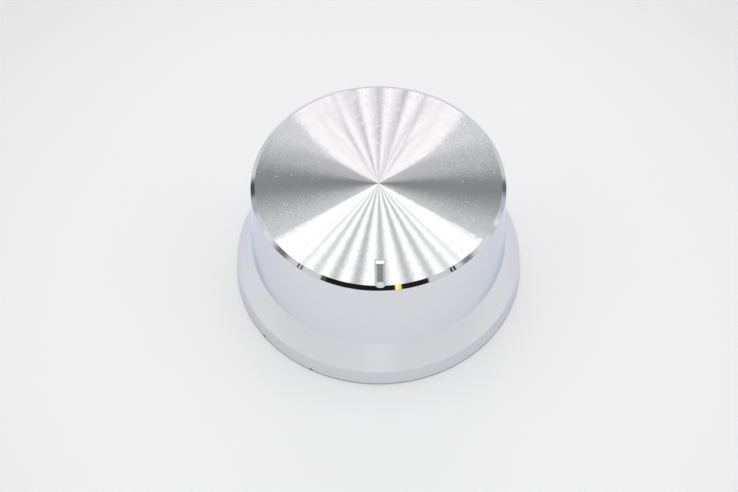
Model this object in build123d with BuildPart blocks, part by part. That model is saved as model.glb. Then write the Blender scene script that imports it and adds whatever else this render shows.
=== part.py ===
from build123d import *
import os

# Control knob, in millimetres. It stands on the rim of its skirt: the origin is the centre
# of that rim, +Z is the shaft axis and points out of the face, and the pointer lies at -Y.
# Three pieces: a metal cap turned in one piece, a moulded core that is pushed up inside it
# and carries the shaft socket, and a steel ring that closes the split hub on the shaft.

# Cap, outside
knob_height = 21.0
rim_radius = 19.0
wall_taper = 0.5            # how much wider the wall is at its foot than at the rim
flare_width = 2.4
flare_height = 4.1
skirt_height = 3.1
skirt_lean = 0.25           # how much wider the skirt is at the base than at its upper edge
chamfer_width = 0.65
chamfer_drop = 0.42
base_edge_break = 0.15

# Cap, inside
face_thickness = 2.4
wall_thickness = 1.4        # at the rim, where the wall is thinnest
skirt_thickness = 1.6
seat_width = 0.4            # flat shoulder inside the skirt that the core's flange meets
key_count = 3
key_width = 2.4
key_rise = 0.8
key_length = 9.5

# Pointer slot
slot_length = 4.65          # from the edge of the face inwards
slot_climb = 1.85           # the stretch beside that edge where the floor climbs
slot_bite = 0.26            # how far the climbing floor runs out into the chamfer
slot_width = 1.3
slot_floor_width = 0.94
slot_depth = 0.6

# Core
core_clearance = 0.1        # all round, between the core and the cap
core_setback = 0.9          # the flange lies this far above the skirt's rim
flange_thickness = 1.7
sleeve_thickness = 1.5
web_gap = 0.3               # room for glue between the web and the back of the face
web_thickness = 1.8
key_clearance = 0.1
rib_count = 6
rib_thickness = 1.2
rib_setback = 1.2           # at the sleeve the ribs start this far above the flange
rib_headroom = 0.8          # at the hub they start this far above the ring's groove

# Hub and its shaft socket
hub_radius = 5.4
hub_setback = 0.6           # the hub's mouth lies this far above the skirt's rim
hub_foot_radius = 0.8       # fillet between the hub and the web
shaft_radius = 3.0
shaft_clearance = 0.03      # in the round stretch, which the split lets close on the shaft
shaft_flat_offset = 1.5     # from the shaft's axis to its flat
keyed_relief = 0.25         # beside the D-shaped stretch, which only turns the shaft
round_depth = 6.5           # the socket's round stretch, from its mouth
flat_depth = 7.5            # the D-shaped stretch behind it
lead_in = 0.5
split_width = 1.0
split_depth = 7.2

# Spring ring
ring_thickness = 0.6
ring_height = 4.0
ring_gap = 1.8
ring_fit = 0.03             # between the ring and the bottom of its groove
ring_end_play = 0.1
lip_height = 1.0            # collar of the hub that keeps the ring on
groove_depth = 0.5

# Places that follow from the sizes above
face_radius = rim_radius - chamfer_width
slot_inner_radius = face_radius - slot_length
slot_floor_end = face_radius - slot_climb
slot_run_out = face_radius + slot_bite
slot_lean = (slot_width - slot_floor_width) / 2      # of its sides and its inner end
wall_foot_radius = rim_radius + wall_taper
skirt_edge_radius = wall_foot_radius + flare_width
base_radius = skirt_edge_radius + skirt_lean
wall_foot_height = skirt_height + flare_height
chamfer_foot_height = knob_height - chamfer_drop
ceiling_height = knob_height - face_thickness
bore_radius = rim_radius - wall_thickness
skirt_bore_radius = skirt_edge_radius - skirt_thickness
seat_height = core_setback + flange_thickness
seat_inner_radius = skirt_bore_radius - seat_width
cone_top_height = seat_height + (seat_inner_radius - bore_radius) * flare_height / flare_width
front = -90
key_angles = [front + step * 360 / key_count for step in range(key_count)]

sleeve_radius = bore_radius - core_clearance
sleeve_bore_radius = sleeve_radius - sleeve_thickness
flange_radius = skirt_bore_radius - core_clearance
web_top = ceiling_height - web_gap
web_bottom = web_top - web_thickness
rib_angles = [front + step * 360 / rib_count for step in range(rib_count)]
rib_foot_height = core_setback + rib_setback

socket_radius = shaft_radius + shaft_clearance
keyed_radius = shaft_radius + keyed_relief
socket_flat = shaft_flat_offset + shaft_clearance
groove_bottom = hub_setback + lip_height
groove_top = groove_bottom + ring_height + ring_end_play
groove_radius = hub_radius - groove_depth
ring_bore_radius = groove_radius + ring_fit
ring_radius = ring_bore_radius + ring_thickness

# Pointer slot: a side view and a cross section that together bound what is milled away
with BuildPart() as pointer_slot:
    slot_floor = knob_height - slot_depth
    above_face = knob_height + slot_depth
    chamfer_slope = chamfer_drop / chamfer_width
    run_out_height = knob_height - slot_bite * chamfer_slope
    with BuildSketch(Plane.YZ):
        with BuildLine():
            floor_line = Line(
                (-slot_inner_radius - slot_lean, slot_floor),
                (-slot_floor_end, slot_floor),
            )
            climb = TangentArc(
                floor_line @ 1,
                (-slot_run_out, run_out_height),
                tangent=floor_line % 1,
            )
            Polyline(
                climb @ 1,
                climb @ 1 + Vector(-slot_depth, above_face - run_out_height),
                (-slot_inner_radius + slot_lean, above_face),
                floor_line @ 0,
            )
        make_face()
    extrude(amount=slot_width, both=True)

    with BuildSketch(Plane.XZ):
        with BuildLine():
            Polyline(
                (-slot_floor_width / 2, slot_floor),
                (slot_floor_width / 2, slot_floor),
                (slot_width / 2 + slot_lean, above_face),
                (-slot_width / 2 - slot_lean, above_face),
                close=True,
            )
        make_face()
    extrude(amount=rim_radius + slot_depth, mode=Mode.INTERSECT)

# Cap: the outside and the inside of the wall are one closed section, turned about the axis
with BuildPart() as knob_cap:
    with BuildSketch(Plane.XZ):
        with BuildLine():
            Polyline(
                (0, knob_height),
                (face_radius, knob_height),
                (rim_radius, chamfer_foot_height),
                (wall_foot_radius, wall_foot_height),
                (skirt_edge_radius, skirt_height),
                (base_radius, base_edge_break),
                (base_radius - base_edge_break, 0),
                (skirt_bore_radius, 0),
                (skirt_bore_radius, seat_height),
                (seat_inner_radius, seat_height),
                (bore_radius, cone_top_height),
                (bore_radius, ceiling_height),
                (0, ceiling_height),
                close=True,
            )
        make_face()
    revolve(axis=Axis.Z)

    # Keys inside the wall, which turn the core with the cap
    key_middle = bore_radius - key_rise / 2 + wall_thickness / 4
    with BuildSketch(Plane.XY.offset(ceiling_height)):
        for angle in key_angles:
            with PolarLocations(key_middle, 1, start_angle=angle):
                Rectangle(key_rise + wall_thickness / 2, key_width)
    extrude(amount=-key_length)

    add(pointer_slot.part, mode=Mode.SUBTRACT)

# Core: flange, sleeve and web are turned, and the hub stands in the middle of the web
with BuildPart() as core:
    with BuildSketch(Plane.XZ):
        with BuildLine():
            Polyline(
                (0, web_top),
                (sleeve_radius, web_top),
                (sleeve_radius, seat_height),
                (flange_radius, seat_height),
                (flange_radius, core_setback),
                (sleeve_bore_radius, core_setback),
                (sleeve_bore_radius, web_bottom),
                (0, web_bottom),
                close=True,
            )
        make_face()
    revolve(axis=Axis.Z)

    with BuildSketch(Plane.XZ):
        with BuildLine():
            Polyline(
                (0, hub_setback),
                (hub_radius, hub_setback),
                (hub_radius, groove_bottom),
                (groove_radius, groove_bottom),
                (groove_radius, groove_top),
                (hub_radius, groove_top),
                (hub_radius, web_bottom - hub_foot_radius),
                (hub_radius + hub_foot_radius, web_bottom),
                (0, web_bottom),
                close=True,
            )
        make_face()
    revolve(axis=Axis.Z)

    # Ribs from the hub to the sleeve, cut away below so that the ring can be pushed on
    for angle in rib_angles:
        with BuildSketch(Plane.XZ.rotated((0, 0, angle))):
            with BuildLine():
                Polyline(
                    (groove_radius, groove_top + rib_headroom),
                    (sleeve_bore_radius + sleeve_thickness / 2, rib_foot_height),
                    (sleeve_bore_radius + sleeve_thickness / 2, web_bottom),
                    (groove_radius, web_bottom),
                    close=True,
                )
            make_face()
        extrude(amount=rib_thickness / 2, both=True)

    # Shaft socket: round at the mouth, D-shaped behind
    with BuildSketch(Plane.XY.offset(hub_setback)):
        Circle(socket_radius)
    extrude(amount=round_depth, mode=Mode.SUBTRACT)
    with BuildSketch(Plane.XY.offset(hub_setback + round_depth)):
        Circle(keyed_radius)
        with Locations((0, socket_flat)):
            Rectangle(2 * keyed_radius, keyed_radius, align=(Align.CENTER, Align.MIN),
                      mode=Mode.SUBTRACT)
    extrude(amount=flat_depth, mode=Mode.SUBTRACT)
    with BuildSketch(Plane.XZ):
        with BuildLine():
            Polyline(
                (0, hub_setback),
                (socket_radius + lead_in, hub_setback),
                (socket_radius, hub_setback + lead_in),
                (0, hub_setback + lead_in),
                close=True,
            )
        make_face()
    revolve(axis=Axis.Z, mode=Mode.SUBTRACT)

    # The split that lets the hub's mouth close on the shaft
    with BuildSketch(Plane.XY.offset(hub_setback)):
        Rectangle(2 * hub_radius + 2 * groove_depth, split_width)
    extrude(amount=split_depth, mode=Mode.SUBTRACT)

    # Keyways for the cap's keys
    keyway_depth = key_rise + key_clearance
    with BuildSketch(Plane.XY.offset(web_top)):
        for angle in key_angles:
            with PolarLocations(sleeve_radius, 1, start_angle=angle):
                Rectangle(2 * keyway_depth, key_width + 2 * key_clearance)
    extrude(amount=-(key_length - web_gap + key_clearance), mode=Mode.SUBTRACT)

# Spring ring: a strip rolled into an open ring
with BuildPart() as ring:
    with BuildSketch(Plane.XY.offset(groove_bottom)):
        Circle(ring_radius)
        Circle(ring_bore_radius, mode=Mode.SUBTRACT)
        with Locations((0, ring_radius)):
            Rectangle(ring_gap, 2 * ring_radius - 2 * groove_radius + 2, mode=Mode.SUBTRACT)
    extrude(amount=ring_height)

os.makedirs("parts", exist_ok=True)
knob_cap.part.label = "knob_cap"
export_step(knob_cap.part, "parts/knob_cap.step")
core.part.label = "hub_core"
export_step(core.part, "parts/hub_core.step")
ring.part.label = "spring_ring"
export_step(ring.part, "parts/spring_ring.step")
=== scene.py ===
import bpy
import bmesh
import math
from mathutils import Matrix, Vector


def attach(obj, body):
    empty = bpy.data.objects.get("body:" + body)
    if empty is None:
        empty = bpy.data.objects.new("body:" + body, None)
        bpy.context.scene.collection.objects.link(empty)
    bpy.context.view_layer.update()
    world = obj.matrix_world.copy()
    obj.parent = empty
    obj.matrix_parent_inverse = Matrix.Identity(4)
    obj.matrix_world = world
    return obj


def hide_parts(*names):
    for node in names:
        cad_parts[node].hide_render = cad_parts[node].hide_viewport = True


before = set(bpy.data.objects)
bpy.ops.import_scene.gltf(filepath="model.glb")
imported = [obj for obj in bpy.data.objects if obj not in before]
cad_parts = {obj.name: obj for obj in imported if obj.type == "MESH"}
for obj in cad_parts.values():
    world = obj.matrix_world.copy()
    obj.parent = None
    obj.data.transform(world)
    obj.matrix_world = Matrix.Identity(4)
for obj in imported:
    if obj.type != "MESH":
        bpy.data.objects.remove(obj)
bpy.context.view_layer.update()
scene = bpy.context.scene
mm = 0.001

# Cap, the same sizes in millimetres as the CAD model's
knob_height = 21.0
rim_radius = 19.0
wall_taper = 0.5
flare_width = 2.4
flare_height = 4.1
skirt_height = 3.1
skirt_lean = 0.25
chamfer_width = 0.65
chamfer_drop = 0.42
base_edge_break = 0.15
face_thickness = 2.4
wall_thickness = 1.4
skirt_thickness = 1.6
seat_width = 0.4
seat_height = 2.6
key_count = 3
key_width = 2.4
key_rise = 0.8
key_length = 9.5

face_radius = rim_radius - chamfer_width
wall_foot_radius = rim_radius + wall_taper
wall_foot_height = skirt_height + flare_height
skirt_edge_radius = wall_foot_radius + flare_width
base_radius = skirt_edge_radius + skirt_lean
chamfer_foot_height = knob_height - chamfer_drop
ceiling_height = knob_height - face_thickness
bore_radius = rim_radius - wall_thickness
skirt_bore_radius = skirt_edge_radius - skirt_thickness
seat_inner_radius = skirt_bore_radius - seat_width
cone_top_height = seat_height + (seat_inner_radius - bore_radius) * flare_height / flare_width

# Mesh of the cap
turns = 256                  # columns round the axis
corner_steps = 3             # faces across a rounded edge
corner_support = 0.02        # flat strip kept on both sides of a rounded edge
painted_shadow_height = 0.38      # the dark finish of the base edge, a painted contact shadow, reaches up to here
painted_shadow_inset = 0.015      # how much smaller the radius is there than at the base
key_overlap = 0.5            # how far the keys reach up into the ceiling

# Pointer slot. It is shallower and shorter than in the CAD model, its inner end leans more
# and its floor climbs later, and it has the soft edges and the rounded outer end that the
# model leaves out.
slot_length = 4.5
slot_climb = 1.15
slot_bite = 0.26
slot_width = 1.3
slot_floor_width = 0.9
slot_side_width = 0.17
slot_side_rise = 0.1
slot_side_least = 0.01       # the steep stretch of a side is never lower than this
slot_depth = 0.45
slot_end_run = 0.4
slot_edge_width = 0.16
slot_edge_drop = 0.08
slot_round = 0.5             # length of the rounded stretch at the outer end
slot_round_share = 0.8       # with 1 the slot's width would shrink to nothing there
slot_climb_steps = 14
slot_crease = math.radians(12)
slot_inner_radius = face_radius - slot_length
slot_floor_end = face_radius - slot_climb
slot_run_out = face_radius + slot_bite
slot_floor_height = knob_height - slot_depth
run_out_height = knob_height - slot_bite * chamfer_drop / chamfer_width

# Turning marks on the face: each turn falls outwards more and more, then steps back up
face_pitch = 0.2
face_margin = 0.06           # left flat at the rim
mesh_depth = 0.5             # of the marks in the mesh, as a share of what their slopes give
outer_flank = 0.985          # the share of the pitch that falls outwards
outer_slope = math.tan(math.radians(27))
inner_slope = math.tan(math.radians(20))
depth_scatter = 0.1
face_ripple = 0.006          # sideways waviness of the marks
mark_drift = 0.4             # how far a mark strays in and out, as a share of the pitch
grain_size = 0.07
skew = 0.17                  # how far the marks of the back corners run askew at the rim
skew_from = 8.5              # they run true here, and askew the other way further in
sparkle = 0.035              # sideways scatter of single grains, as a share of their slope
speck_size = 0.2             # small facets that stand further askew than the rest
speck_share = 0.035
speck_tilt = 0.16
front_calm = 0.15            # how much of both there is in the front half
calm_from = 0.2              # and how far to both sides of the middle that changes
face_colour_low = (0.90, 0.90, 0.905, 1.0)
face_colour_high = (0.93, 0.93, 0.935, 1.0)
face_smoothest = 0.045
face_roughest = 0.065

# Other finishes of the cap, whose marks run round the axis. The swings say how far the colour
# darkens, as a share, and how far the roughness wanders.
bright = (0.79, 0.805, 0.83)
metals = {
    # finish: name, colour, roughness, mark scale, mark depth, grain depth, swings of both
    "chamfer": ("mirror_chamfer", (0.86, 0.865, 0.88), 0.04, 4000.0, 0.05, 0.05, 0.02, 0.01),
    "wall": ("polished_wall", bright, 0.16, 5000.0, 0.2, 0.1, 0.03, 0.03),
    "flare": ("polished_flare", bright, 0.18, 5000.0, 0.2, 0.1, 0.03, 0.03),
    "skirt": ("polished_skirt", (0.735, 0.75, 0.775), 0.2, 5000.0, 0.2, 0.1, 0.03, 0.03),
    # The base edge's dark colour is painted shadow where the knob stands on the floor; the
    # finish is also rougher
    "edge": ("base_edge_painted_shadow", (0.4, 0.4, 0.41), 0.4, 3000.0, 0.4, 0.3, 0.03, 0.03),
    "inside": ("bored_inside", (0.7, 0.7, 0.71), 0.35, 3000.0, 0.5, 0.3, 0.03, 0.03),
    "slot": ("milled_slot", (0.75, 0.765, 0.77), 0.11, 3000.0, 0.1, 0.2, 0.03, 0.03),
    "slot_side": ("milled_slot_side", (0.95, 0.95, 0.95), 0.55, 3000.0, 0.1, 0.2, 0.03, 0.03),
}
edge_tint = (0.86, 0.885, 0.97, 1.0)     # what a metal turns to at a grazing angle
wear_range = (0.6, 1.4)                  # of two noises added up, which set the roughness

# Nicks in the base edge: (degrees from the front, height and size in mm)
nicks = [(-52.6, 0.45, 0.36), (-28.2, 0.35, 0.3), (21.0, 0.25, 0.15)]
nicked_finishes = ["skirt", "edge"]
nick_core = 0.4              # share of a nick's size that is fully dark
nick_shade = 0.05

# Floor. The camera and the metal see it a little paler than the light alone makes it.
floor_half = 3000.0
floor_glow = 0.325
floor_centre = (0.0, -3.0, 0.0)
floor_fading = 0.11          # how much of that is lost towards the corners of the picture
floor_fading_from = 42.0     # away from the floor's centre
floor_fading_to = 100.0

# Camera, fitted to the photograph's rim, chamfer and skirt
camera_place = (-2.8, -178.6, 257.9)
camera_target = (-1.43, 3.44, 0.0)
camera_roll = math.radians(-0.37)
focal_length_px = 2000
image_width_px = 738
sensor_width = 36.0
clip_start = 10.0

# Light. The surroundings are painted by direction, as seen from the knob: x is to the right,
# y to the back and z up. The level face mirrors the camera to (mirror_x, mirror_y), and a
# turning mark spreads that along a line from there, so what it shows depends on
# fan = (x - mirror_x) / (mirror_y - y). The face sees no further than face_reach from
# (0, reach_y). The chamfer sees a ring outside that, and lamps stand outside the ring.
# Where something changes softly, a pair of values says from where to where.
mirror_x = 0.009
mirror_y = 0.6
mirror_core = 0.001          # nothing divides by less
reach_y = 0.35
face_reach = 0.71
ring_reach = 0.91
reach_softness = 0.01

# Overhead strips in front of the mirror direction and behind it, by fan
front_strips = {
    "spacing": 0.216,
    "centre": 0.014,
    "skip": 0.016,           # moves the strips on the right further out
    "squeeze": 0.08,         # draws the outer strips together, or apart below zero
    "narrow": 1.2,           # the higher, the thinner the dips between the strips
    "fade": (1.5, 6.5),      # the dips grow fainter from the first count to the last
    "dip": (0.5, 0.515, 0.54, 1.0),
    "top": (1.21, 1.21, 1.22, 1.0),
}
rear_strips = {
    "spacing": 0.248,
    "centre": -0.04,
    "skip": 0.0,
    "squeeze": -0.2,
    "narrow": 4.0,
    "fade": (0.9, 3.5),
    "dip": (0.5, 0.505, 0.54, 1.0),
    "top": (1.15, 1.09, 1.105, 1.0),
}
skip_at = (0.03, 0.15)
faintest_dip = 0.15
strip_gain = 1.1             # flattens the tops a little
panel_shift = 0.05           # of both panels of strips to the left
front_panel_edge = (1.5, 1.6)
rear_panel_edge = (1.3, 1.5)
panel_hole = (0.05, 0.1)     # round the mirror direction

# A dark band across the mirror direction and soft grey in front of it and behind it
dark_band = (0.26, 0.266, 0.266, 1.0)
surround = (0.78, 0.792, 0.822, 1.0)
surround_behind = (0.66, 0.667, 0.69, 1.0)
band_turn = -0.05            # the band lies a little askew
front_change = (0.02, 0.3)
rear_change = (0.02, 0.135)

# Soft lamps all round, and a plain horizon
front_lamp = 0.15
rear_lamp = 1.25
rear_from = (-0.2, 0.2)
side_lamp = 0.7
side_from = (0.3, 0.8)
slot_lamp = 1.45             # a small one in front, which the slot's inner end mirrors
slot_lamp_width = (0.1, 0.14)
slot_lamp_end = (-0.74, -0.7)
horizon = 0.88
horizon_aside = 0.85
aside_from = (0.2, 0.5)
horizon_top = (0.1, 0.2)

# What stands round the knob, by its bearing in degrees seen from above: a black card round
# the camera with a warm lamp in it, thin black bars, dark cloths, paler and darker patches of
# wall, and a gap at each side
ring_light = (0.69, 0.695, 0.72, 1.0)
stands = [
    # from, to, softness, colour
    (-100.0, -91.0, 2.5, (0.46, 0.47, 0.50, 1.0)),
    (-80.0, -71.5, 1.5, (0.82, 0.82, 0.85, 1.0)),
    (-67.8, -58.0, 3.5, (0.20, 0.20, 0.20, 1.0)),
    (-50.3, -49.2, 0.05, (0.07, 0.055, 0.055, 1.0)),
    (-48.1, -47.0, 0.05, (0.07, 0.055, 0.055, 1.0)),
    (-34.5, 28.9, 0.3, (0.012, 0.015, 0.015, 1.0)),
    (-34.5, -31.5, 0.8, (0.09, 0.09, 0.065, 1.0)),
    (26.0, 28.9, 0.8, (0.03, 0.014, 0.01, 1.0)),
    (9.2, 12.7, 0.2, (1.3, 0.95, 0.12, 1.0)),
    (9.7, 10.6, 0.3, (1.4, 1.4, 1.0, 1.0)),
    (42.9, 44.3, 0.05, (0.02, 0.02, 0.02, 1.0)),
    (45.0, 46.4, 0.05, (0.02, 0.02, 0.02, 1.0)),
    (51.3, 58.8, 2.5, (0.26, 0.26, 0.26, 1.0)),
    (63.0, 74.2, 1.2, (0.78, 0.78, 0.82, 1.0)),
    (75.5, 80.5, 0.8, (0.60, 0.60, 0.64, 1.0)),
    (82.0, 85.5, 0.6, (0.84, 0.85, 0.88, 1.0)),
    (90.5, 102.0, 2.0, (0.52, 0.53, 0.56, 1.0)),
    (-112.0, -101.0, 3.5, (0.08, 0.08, 0.09, 1.0)),
    (101.0, 110.0, 3.5, (0.16, 0.16, 0.17, 1.0)),
]


# Small helpers for shader trees. An input is either a plain value or another node's socket.
class Tree:
    def __init__(self, owner):
        owner.use_nodes = True
        self.nodes = owner.node_tree.nodes
        self.links = owner.node_tree.links
        self.nodes.clear()

    def feed(self, socket, value):
        if isinstance(value, bpy.types.NodeSocket):
            self.links.new(value, socket)
        else:
            socket.default_value = value

    def node(self, kind, inputs=None, **settings):
        node = self.nodes.new("ShaderNode" + kind)
        for name, value in settings.items():
            setattr(node, name, value)
        for name, value in (inputs or {}).items():
            self.feed(node.inputs[name], value)
        return node

    def math(self, operation, *values, clamp=False):
        inputs = dict(enumerate(values))
        return self.node("Math", inputs, operation=operation, use_clamp=clamp).outputs[0]

    def vector(self, operation, *values):
        inputs = dict(enumerate(values))
        return self.node("VectorMath", inputs, operation=operation).outputs["Vector"]

    def scaled(self, vector, factor):
        inputs = {0: vector, "Scale": factor}
        return self.node("VectorMath", inputs, operation="SCALE").outputs["Vector"]

    def length(self, vector):
        return self.node("VectorMath", {0: vector}, operation="LENGTH").outputs["Value"]

    def distance(self, place, point):
        inputs = {0: place, 1: point}
        return self.node("VectorMath", inputs, operation="DISTANCE").outputs["Value"]

    def position(self):
        return self.node("NewGeometry").outputs["Position"]

    def parts(self, vector):
        return self.node("SeparateXYZ", {0: vector}).outputs

    def flat(self, first, second):
        return self.node("CombineXYZ", {0: first, 1: second}).outputs[0]

    def noise(self, place, scale, detail):
        # The scale counts per metre
        inputs = {"Vector": place, "Scale": scale, "Detail": detail}
        return self.node("TexNoise", inputs).outputs[0]

    def span(self, value, low, high, low_value, high_value, **settings):
        inputs = {0: value, 1: low, 2: high, 3: low_value, 4: high_value}
        return self.node("MapRange", inputs, **settings).outputs[0]

    def blend(self, share, first, second):
        return self.span(share, 0.0, 1.0, first, second)

    def ramp(self, value, low, high, low_value=0.0, high_value=1.0):
        return self.span(value, low, high, low_value, high_value,
                         interpolation_type="SMOOTHSTEP")

    def mix(self, share, first, second):
        node = self.node("Mix", data_type="RGBA")
        sockets = (node.inputs[0], node.inputs[6], node.inputs[7])
        for socket, value in zip(sockets, (share, first, second)):
            self.feed(socket, value)
        return node.outputs[2]


def grey(value):
    return (value, value, value, 1.0)


def across_axis(tree, place):
    # Where a place lies across the knob's axis
    return tree.vector("MULTIPLY", place, (1.0, 1.0, 0.0))


# Turned face
def per_cell(tree, place, size):
    # White noise that is the same all over each square of the given size in millimetres
    share = 1 / (size * mm)
    cell = tree.vector("FLOOR", tree.vector("MULTIPLY", place, (share, share, 0.0)))
    return tree.node("TexWhiteNoise", {"Vector": cell}, noise_dimensions="3D").outputs


def mark_slope(tree, phase, chance):
    # Phase runs from 0 to 1 across a mark, and chance gives each mark its own depth
    steepest = tree.blend(chance, outer_slope * (1 - depth_scatter),
                          outer_slope * (1 + depth_scatter))
    falling = tree.math("MULTIPLY", tree.math("DIVIDE", phase, outer_flank), steepest)
    rising = tree.span(phase, outer_flank, 1.0, -inner_slope, 0.0)
    return tree.blend(tree.math("GREATER_THAN", phase, outer_flank), falling, rising)


def with_specks(tree, place, grain, amount, slope, sideways):
    # Single grains scatter sideways, and a few small facets have a slope and a tilt of their own
    shimmer = tree.node("SeparateColor", {0: grain["Color"]}).outputs[1]
    shimmer = tree.math("MULTIPLY", tree.math("SUBTRACT", shimmer, 0.5), sparkle)
    facet = per_cell(tree, place, speck_size)
    is_speck = tree.math("GREATER_THAN", facet["Value"], 1 - speck_share)
    draws = tree.node("SeparateColor", {0: facet["Color"]}).outputs
    facet_slope = tree.math("MULTIPLY_ADD", draws[2], outer_slope / 2, outer_slope / 2)
    slope = tree.blend(is_speck, slope, facet_slope)
    tilt = tree.math("MULTIPLY", is_speck, tree.math("MULTIPLY_ADD", draws[1], 2.0, -1.0))
    tilt = tree.math("MULTIPLY_ADD", tilt, speck_tilt, shimmer)
    tilt = tree.math("MULTIPLY", tilt, amount)
    return slope, tree.math("MULTIPLY_ADD", tilt, slope, sideways)


def run_askew(tree, outward, radius):
    # Towards the back corners the marks don't face straight outwards
    ways = tree.parts(outward)
    double = tree.math("MULTIPLY", tree.math("MULTIPLY", ways[0], ways[1]), 2.0)
    corner = tree.math("MULTIPLY", tree.math("MULTIPLY", double, double),
                       tree.math("GREATER_THAN", ways[1], 0.0))
    askew = tree.span(radius, skew_from * mm, face_radius * mm, 0.0, skew, clamp=False)
    askew = tree.math("MULTIPLY", corner, askew)
    stretch = tree.flat(tree.math("ADD", 1.0, askew), tree.math("SUBTRACT", 1.0, askew))
    return tree.vector("NORMALIZE", tree.vector("MULTIPLY", outward, stretch))


def tilted(tree, outward, slope, sideways):
    # The normal of a level surface that falls outwards by slope and to the side by sideways
    up = (0.0, 0.0, 1.0)
    along = tree.vector("CROSS_PRODUCT", outward, up)
    lean = tree.vector("ADD", tree.scaled(outward, slope), tree.scaled(along, sideways))
    return tree.vector("NORMALIZE", tree.vector("ADD", lean, up))


def turned_face():
    material = bpy.data.materials.new("turned_face")
    tree = Tree(material)
    place = tree.position()
    across = across_axis(tree, place)
    radius = tree.length(across)
    outward = tree.vector("NORMALIZE", across)
    grain = per_cell(tree, place, grain_size)
    turn = tree.math("DIVIDE", radius, face_pitch * mm)
    turn = tree.math("ADD", turn, tree.math("MULTIPLY", grain["Value"], mark_drift))
    chance = tree.node("TexWhiteNoise", {"W": tree.math("FLOOR", turn)},
                       noise_dimensions="1D").outputs["Value"]
    slope = mark_slope(tree, tree.math("FRACT", turn), chance)
    ripple = tree.noise(place, scale=2500.0, detail=2.0)
    sideways = tree.blend(ripple, -face_ripple, face_ripple)
    to_back = tree.parts(outward)[1]
    amount = tree.ramp(to_back, -calm_from, calm_from, front_calm, 1.0)
    slope, sideways = with_specks(tree, place, grain, amount, slope, sideways)
    normal = tilted(tree, run_askew(tree, outward, radius), slope, sideways)
    cloud = tree.noise(place, scale=120.0, detail=3.0)
    shade = tree.mix(cloud, face_colour_low, face_colour_high)
    rough = tree.blend(chance, face_smoothest, face_roughest)
    shader = tree.node("BsdfPrincipled", {"Base Color": shade, "Metallic": 1.0,
                                          "Roughness": rough, "Normal": normal})
    tree.node("OutputMaterial", {0: shader.outputs[0]})
    return material


# Other metal of the cap
def with_nicks(tree, place, shade):
    for angle, height, size in nicks:
        turn = math.radians(angle)
        nick = Vector((base_radius * math.sin(turn), -base_radius * math.cos(turn), height))
        gap = tree.distance(place, nick * mm)
        dark = tree.ramp(gap, size * nick_core * mm, size * mm, 1.0, 0.0)
        shade = tree.mix(dark, shade, grey(nick_shade))
    return shade


def metal(name, colour, roughness, mark_scale, mark_depth, grain_depth, colour_swing,
          roughness_swing, nicked):
    material = bpy.data.materials.new(name)
    tree = Tree(material)
    place = tree.position()
    radius = tree.length(across_axis(tree, place))
    height = tree.parts(place)[2]
    rings = tree.noise(tree.flat(radius, height), scale=mark_scale, detail=3.0)
    grain = tree.noise(place, scale=2600.0, detail=2.0)
    cloud = tree.noise(place, scale=90.0, detail=3.0)
    low = tuple(channel * (1 - colour_swing) for channel in colour)
    shade = tree.mix(rings, low + (1.0,), colour + (1.0,))
    if nicked:
        shade = with_nicks(tree, place, shade)
    wear = tree.math("ADD", rings, cloud)
    rough = tree.span(wear, *wear_range, roughness - roughness_swing,
                      roughness + roughness_swing)
    marks = tree.node("Bump", {"Strength": mark_depth, "Distance": 0.01 * mm,
                               "Height": rings}).outputs[0]
    normal = tree.node("Bump", {"Strength": grain_depth, "Distance": 0.005 * mm,
                                "Height": grain, "Normal": marks}).outputs[0]
    shader = tree.node("BsdfPrincipled", {"Base Color": shade, "Metallic": 1.0,
                                          "Roughness": rough, "Normal": normal,
                                          "Specular Tint": edge_tint})
    tree.node("OutputMaterial", {0: shader.outputs[0]})
    return material


cap_materials = {"face": turned_face()}
for finish, values in metals.items():
    cap_materials[finish] = metal(*values, nicked=finish in nicked_finishes)
finishes = list(cap_materials)


# Turned section of the cap: (radius, height, edge radius, finish of the stretch that follows)
section = [
    (face_radius, knob_height, 0.03, "chamfer"),
    (rim_radius, chamfer_foot_height, 0.06, "wall"),
    (wall_foot_radius, wall_foot_height, 0.06, "flare"),
    (skirt_edge_radius, skirt_height, 0.1, "skirt"),
    # From here down the base edge takes the dark finish, a painted contact shadow
    (base_radius - painted_shadow_inset, painted_shadow_height, 0.05, "edge"),
    (base_radius, base_edge_break, 0.05, "edge"),
    (base_radius - base_edge_break, 0, 0.03, "inside"),
    (skirt_bore_radius, 0, 0.1, "inside"),
    (skirt_bore_radius, seat_height, 0.05, "inside"),
    (seat_inner_radius, seat_height, 0.05, "inside"),
    (bore_radius, cone_top_height, 0.05, "inside"),
    (bore_radius, ceiling_height, 0.3, "inside"),
]


def rounded(before, corner, after, radius):
    corner = Vector(corner)
    to_before = (Vector(before) - corner).normalized()
    to_after = (Vector(after) - corner).normalized()
    half = to_before.angle(to_after) / 2
    reach = radius / math.tan(half)
    support = reach + corner_support
    centre = corner + (to_before + to_after).normalized() * radius / math.sin(half)
    start = corner + to_before * reach - centre
    turn = start.angle_signed(corner + to_after * reach - centre)
    points = [corner + to_before * support]
    for step in range(corner_steps + 1):
        spin = Matrix.Rotation(-turn * step / corner_steps, 2)
        points.append(centre + spin @ start)
    points.append(corner + to_after * support)
    return points


def face_marks():
    # The turning marks at their real pitch. Their slopes average half of outer_slope.
    points = []
    count = int((face_radius - face_margin) / face_pitch)
    run = face_pitch * outer_flank
    drop = run * outer_slope / 2 * mesh_depth
    for index in range(count):
        inner = index * face_pitch
        points.append(Vector((inner + run, knob_height - drop)))
        points.append(Vector((inner + face_pitch, knob_height)))
    return points


def turned_profile():
    profile = [(point, "face") for point in face_marks()]
    corners = [(entry[0], entry[1]) for entry in section]
    for index, (radius, height, edge, finish) in enumerate(section):
        before = corners[index - 1] if index else (0, knob_height)
        after = corners[index + 1] if index + 1 < len(section) else (0, ceiling_height)
        points = rounded(before, (radius, height), after, edge)
        previous = section[index - 1][3] if index else "face"
        profile.append((points[0], previous))
        profile += [(point, finish) for point in points[1:]]
    return profile


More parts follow.
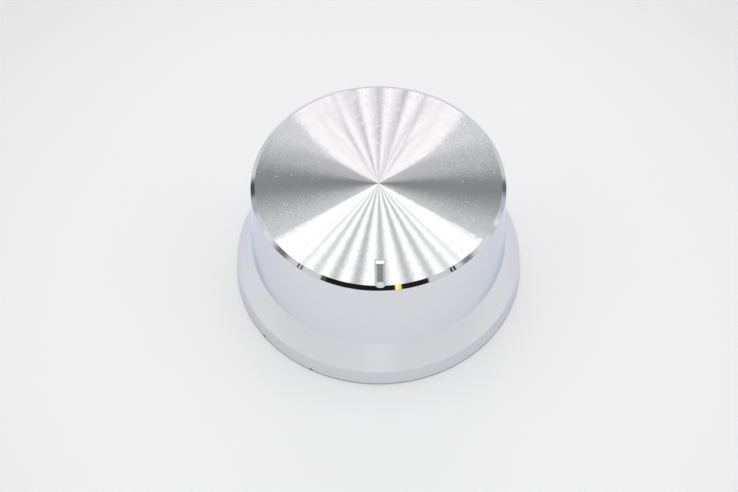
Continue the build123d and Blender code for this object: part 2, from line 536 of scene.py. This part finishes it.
def turned_cap():
    profile = turned_profile()
    vertices = [(0, 0, knob_height * mm)]
    for point, _ in profile:
        for column in range(turns):
            angle = 2 * math.pi * column / turns
            vertices.append((point.x * math.cos(angle) * mm, point.x * math.sin(angle) * mm,
                             point.y * mm))
    vertices.append((0, 0, ceiling_height * mm))
    last = len(vertices) - 1

    def at(ring, column):
        return 1 + ring * turns + column % turns

    faces = []
    finish_of = []
    for column in range(turns):
        faces.append((0, at(0, column), at(0, column + 1)))
        finish_of.append("face")
    for ring in range(len(profile) - 1):
        for column in range(turns):
            faces.append((at(ring, column), at(ring + 1, column),
                          at(ring + 1, column + 1), at(ring, column + 1)))
            finish_of.append(profile[ring][1])
    for column in range(turns):
        faces.append((at(len(profile) - 1, column), last, at(len(profile) - 1, column + 1)))
        finish_of.append("inside")
    mesh = bpy.data.meshes.new("cap")
    mesh.from_pydata(vertices, [], faces)
    for finish in finishes:
        mesh.materials.append(cap_materials[finish])
    mesh.polygons.foreach_set("material_index", [finishes.index(name) for name in finish_of])
    return mesh


def mesh_from(bm, name, *used_finishes):
    mesh = bpy.data.meshes.new(name)
    bm.to_mesh(mesh)
    bm.free()
    for finish in used_finishes:
        mesh.materials.append(cap_materials[finish])
    return mesh


def slot_floor_line():
    # Side view of the floor: level, then an arc that runs out into the chamfer
    climb_run = slot_run_out - slot_floor_end
    climb_rise = run_out_height - slot_floor_height
    climb_radius = (climb_run ** 2 + climb_rise ** 2) / (2 * climb_rise)
    full_turn = 2 * math.atan2(climb_rise, climb_run)
    line = [(slot_inner_radius + slot_end_run, slot_floor_height),
            (slot_floor_end, slot_floor_height)]
    for step in range(1, slot_climb_steps + 2):
        turn = full_turn * step / slot_climb_steps
        line.append((slot_floor_end + climb_radius * math.sin(turn),
                     slot_floor_height + climb_radius * (1 - math.cos(turn))))
    return line


def slot_cutter():
    # One row of points across the slot for each point of the floor line
    line = slot_floor_line()
    top = knob_height + slot_depth
    shoulder = knob_height - slot_edge_drop
    edge_lean = slot_edge_width / slot_edge_drop
    round_from = line[-1][0] - slot_round
    bm = bmesh.new()
    rows = []
    for radius, height in line:
        past = max(0.0, radius - round_from) / slot_round
        narrowing = math.sqrt(1 - slot_round_share * past ** 2)
        bend = max(shoulder, height + slot_side_rise + slot_side_least)
        half = [(slot_floor_width / 2, height),
                (slot_floor_width / 2 + slot_side_width, height + slot_side_rise),
                (slot_width / 2 + edge_lean * (bend - shoulder), bend),
                (slot_width / 2 + edge_lean * (top - shoulder), top)]
        row = []
        for x, z in half + [(-x, z) for x, z in reversed(half)]:
            back = 0.0
            if height == slot_floor_height and radius < slot_floor_end:
                back = (min(z, shoulder) - height) * slot_end_run / slot_depth
                back += max(0.0, z - shoulder) * edge_lean
            row.append(bm.verts.new((x * narrowing * mm, -(radius - back) * mm, z * mm)))
        rows.append(row)

    # The face that closes a row is the floor, with the first material
    count = len(rows[0])
    for first, second in zip(rows, rows[1:]):
        for index in range(count):
            after = (index + 1) % count
            face = bm.faces.new((first[index], first[after], second[after], second[index]))
            face.material_index = 0 if after == 0 else 1
    bm.faces.new(rows[0])
    bm.faces.new(rows[-1])
    bmesh.ops.recalc_face_normals(bm, faces=bm.faces)
    bmesh.ops.triangulate(bm, faces=bm.faces)
    return mesh_from(bm, "slot_cutter", "slot", "slot_side")


def key_block():
    # Keys inside the wall, which turn the core with the cap
    low = bore_radius - key_rise
    high = bore_radius + wall_thickness / 2
    middle = ceiling_height + key_overlap / 2 - key_length / 2
    bm = bmesh.new()
    for index in range(key_count):
        angle = -math.pi / 2 + index * 2 * math.pi / key_count
        block = bmesh.ops.create_cube(bm, size=1.0)["verts"]
        for vertex in block:
            x = (low + high) / 2 + vertex.co.x * (high - low)
            y = vertex.co.y * key_width
            z = middle + vertex.co.z * (key_length + key_overlap)
            vertex.co = Matrix.Rotation(angle, 3, "Z") @ Vector((x, y, z)) * mm
    return mesh_from(bm, "keys", "inside")


def linked(name, mesh):
    obj = bpy.data.objects.new(name, mesh)
    scene.collection.objects.link(obj)
    return obj


def boolean(target, tool, operation):
    modifier = target.modifiers.new(operation.lower(), "BOOLEAN")
    modifier.object = tool
    modifier.operation = operation
    modifier.solver = "EXACT"
    modifier.material_mode = "TRANSFER"
    graph = bpy.context.evaluated_depsgraph_get()
    result = bpy.data.meshes.new_from_object(target.evaluated_get(graph))
    target.modifiers.clear()
    target.data = result
    bpy.data.objects.remove(tool)


def smooth(mesh):
    # Smooth all over, with creases only between the milled faces of the slot
    names = [material.name for material in mesh.materials]
    milled = [names.index("milled_slot"), names.index("milled_slot_side")]
    bm = bmesh.new()
    bm.from_mesh(mesh)
    for face in bm.faces:
        face.smooth = True
    for edge in bm.edges:
        if any(face.material_index in milled for face in edge.link_faces):
            edge.smooth = edge.calc_face_angle(0.0) < slot_crease
    bm.to_mesh(mesh)
    bm.free()


cap = linked("cap", turned_cap())
boolean(cap, linked("slot_tool", slot_cutter()), "DIFFERENCE")
boolean(cap, linked("key_tool", key_block()), "UNION")
smooth(cap.data)
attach(cap, "root")
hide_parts("knob_cap")


# Black moulding and spring steel, on the CAD nodes
def moulding():
    material = bpy.data.materials.new("black_moulding")
    tree = Tree(material)
    place = tree.position()
    cloud = tree.noise(place, scale=140.0, detail=4.0)
    grain = tree.noise(place, scale=5000.0, detail=2.0)
    shade = tree.mix(cloud, grey(0.012), grey(0.022))
    rough = tree.ramp(cloud, 0.3, 0.7, 0.38, 0.52)
    normal = tree.node("Bump", {"Strength": 0.35, "Distance": 0.02 * mm,
                                "Height": grain}).outputs[0]
    shader = tree.node("BsdfPrincipled", {"Base Color": shade, "Roughness": rough,
                                          "Normal": normal})
    tree.node("OutputMaterial", {0: shader.outputs[0]})
    return material


def steel():
    material = bpy.data.materials.new("spring_steel")
    tree = Tree(material)
    stretched = tree.node("Mapping", {"Vector": tree.position(),
                                      "Scale": (1.0, 1.0, 30.0)}).outputs[0]
    streaks = tree.noise(stretched, scale=400.0, detail=3.0)
    shade = tree.mix(streaks, (0.42, 0.41, 0.4, 1.0), (0.6, 0.59, 0.58, 1.0))
    rough = tree.ramp(streaks, 0.3, 0.7, 0.22, 0.38)
    normal = tree.node("Bump", {"Strength": 0.3, "Distance": 0.01 * mm,
                                "Height": streaks}).outputs[0]
    shader = tree.node("BsdfPrincipled", {"Base Color": shade, "Metallic": 1.0,
                                          "Roughness": rough, "Normal": normal})
    tree.node("OutputMaterial", {0: shader.outputs[0]})
    return material


def dress(node, material):
    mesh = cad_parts[node].data
    mesh.materials.clear()
    mesh.materials.append(material)


dress("hub_core", moulding())
dress("spring_ring", steel())


# Floor
def paper():
    material = bpy.data.materials.new("floor_paper")
    tree = Tree(material)
    place = tree.position()
    cloud = tree.noise(place, scale=3.0, detail=2.0)
    shade = tree.mix(cloud, (0.85, 0.85, 0.852, 1.0), (0.87, 0.87, 0.872, 1.0))
    matt = tree.node("BsdfDiffuse", {"Color": shade})
    rays = tree.node("LightPath").outputs
    seen = tree.math("MAXIMUM", rays["Is Camera Ray"], rays["Is Glossy Ray"])
    seen = tree.math("MAXIMUM", seen, rays["Is Transmission Ray"])
    away = tree.distance(place, Vector(floor_centre) * mm)
    strength = tree.ramp(away, floor_fading_from * mm, floor_fading_to * mm,
                         floor_glow, floor_glow - floor_fading)
    glow = tree.node("Emission", {"Strength": tree.math("MULTIPLY", seen, strength)})
    both = tree.node("AddShader", {0: matt.outputs[0], 1: glow.outputs[0]})
    tree.node("OutputMaterial", {0: both.outputs[0]})
    return material


def floor_mesh():
    mesh = bpy.data.meshes.new("floor")
    corners = [(x * floor_half * mm, y * floor_half * mm, 0)
               for x, y in [(-1, -1), (1, -1), (1, 1), (-1, 1)]]
    mesh.from_pydata(corners, [], [(0, 1, 2, 3)])
    mesh.materials.append(paper())
    return mesh


linked("floor", floor_mesh())


# Surroundings
def strips(tree, fan, spacing, centre, skip, squeeze, narrow, fade, dip, top):
    place = tree.math("SUBTRACT", fan, centre)
    place = tree.math("SUBTRACT", place, tree.ramp(place, *skip_at, 0.0, skip))
    scale = tree.math("MULTIPLY_ADD", tree.math("MULTIPLY", place, place), squeeze, 1.0)
    count = tree.math("MULTIPLY", tree.math("DIVIDE", place, spacing), scale)
    swing = tree.math("COSINE", tree.math("MULTIPLY", count, 2 * math.pi))
    dark = tree.math("POWER", tree.math("MULTIPLY_ADD", swing, 0.5, 0.5), narrow)
    faint = tree.ramp(tree.math("ABSOLUTE", count), *fade, 1.0, faintest_dip)
    lit = tree.math("SUBTRACT", 1.0, tree.math("MULTIPLY", dark, faint))
    lit = tree.math("MULTIPLY", lit, strip_gain, clamp=True)
    return tree.mix(lit, dip, top)


def seen_by_face(tree, x, y):
    ahead = tree.math("SUBTRACT", mirror_y, y)
    aside = tree.math("SUBTRACT", x, mirror_x)
    to_front = tree.math("GREATER_THAN", ahead, 0.0)
    sign = tree.math("MULTIPLY_ADD", to_front, 2.0, -1.0)
    divisor = tree.math("MAXIMUM", tree.math("ABSOLUTE", ahead), mirror_core)
    fan = tree.math("DIVIDE", aside, tree.math("MULTIPLY", sign, divisor))

    # Panels of overhead strips
    panels = tree.mix(to_front, strips(tree, fan, **rear_strips),
                      strips(tree, fan, **front_strips))
    width = tree.math("ABSOLUTE", tree.math("ADD", fan, panel_shift))
    within = tree.blend(to_front, tree.ramp(width, *rear_panel_edge, 1.0, 0.0),
                        tree.ramp(width, *front_panel_edge, 1.0, 0.0))
    off_mirror = tree.length(tree.flat(aside, ahead))
    within = tree.math("MULTIPLY", within, tree.ramp(off_mirror, *panel_hole))

    # The dark band and the grey
    band = tree.math("MULTIPLY_ADD", x, band_turn, ahead)
    around = tree.mix(tree.ramp(band, *front_change), dark_band, surround)
    behind = tree.ramp(tree.math("MULTIPLY", band, -1.0), *rear_change)
    around = tree.mix(behind, around, surround_behind)
    return tree.mix(within, around, panels)


def seen_by_chamfer(tree, bearing):
    ring = ring_light
    for left, right, soft, colour in stands:
        inside = tree.math("MULTIPLY", tree.ramp(bearing, left - soft, left + soft),
                           tree.ramp(bearing, right - soft, right + soft, 1.0, 0.0))
        ring = tree.mix(inside, ring, colour)
    return ring


def lamps_and_horizon(tree, x, y, z):
    off_middle = tree.math("ABSOLUTE", x)
    lamps = tree.blend(tree.ramp(y, *rear_from), front_lamp, rear_lamp)
    lamps = tree.blend(tree.ramp(off_middle, *side_from), lamps, side_lamp)
    in_slot_lamp = tree.math("MULTIPLY", tree.ramp(off_middle, *slot_lamp_width, 1.0, 0.0),
                             tree.ramp(y, *slot_lamp_end, 1.0, 0.0))
    lamps = tree.blend(in_slot_lamp, lamps, slot_lamp)
    low = tree.ramp(off_middle, *aside_from, horizon, horizon_aside)
    light = tree.blend(tree.ramp(z, *horizon_top), low, lamps)
    return tree.node("CombineColor", {0: light, 1: light, 2: light}).outputs[0]


def studio():
    world = bpy.data.worlds.new("studio")
    tree = Tree(world)
    x, y, z = tree.parts(tree.node("TexCoord").outputs["Generated"])
    to_front = tree.math("SUBTRACT", reach_y, y)
    bearing = tree.math("MULTIPLY", tree.math("ARCTAN2", x, to_front), 180 / math.pi)
    reach = tree.length(tree.flat(x, to_front))
    past_face = tree.ramp(reach, face_reach - reach_softness, face_reach + reach_softness)
    past_ring = tree.ramp(reach, ring_reach - reach_softness, ring_reach + reach_softness)
    colour = tree.mix(past_face, seen_by_face(tree, x, y), seen_by_chamfer(tree, bearing))
    colour = tree.mix(past_ring, colour, lamps_and_horizon(tree, x, y, z))
    light = tree.node("Background", {"Color": colour, "Strength": 1.0})
    tree.node("OutputWorld", {0: light.outputs[0]})
    return world


scene.world = studio()
scene.view_settings.view_transform = "Standard"


# Camera
camera = bpy.data.objects.new("camera", bpy.data.cameras.new("camera"))
scene.collection.objects.link(camera)
place = Vector(camera_place) * mm
aim = (Vector(camera_target) * mm - place).to_track_quat("-Z", "Y").to_matrix().to_4x4()
camera.matrix_world = Matrix.Translation(place) @ aim @ Matrix.Rotation(camera_roll, 4, "Z")
camera.data.sensor_width = sensor_width
camera.data.lens = sensor_width * focal_length_px / image_width_px
camera.data.clip_start = clip_start * mm
scene.camera = camera
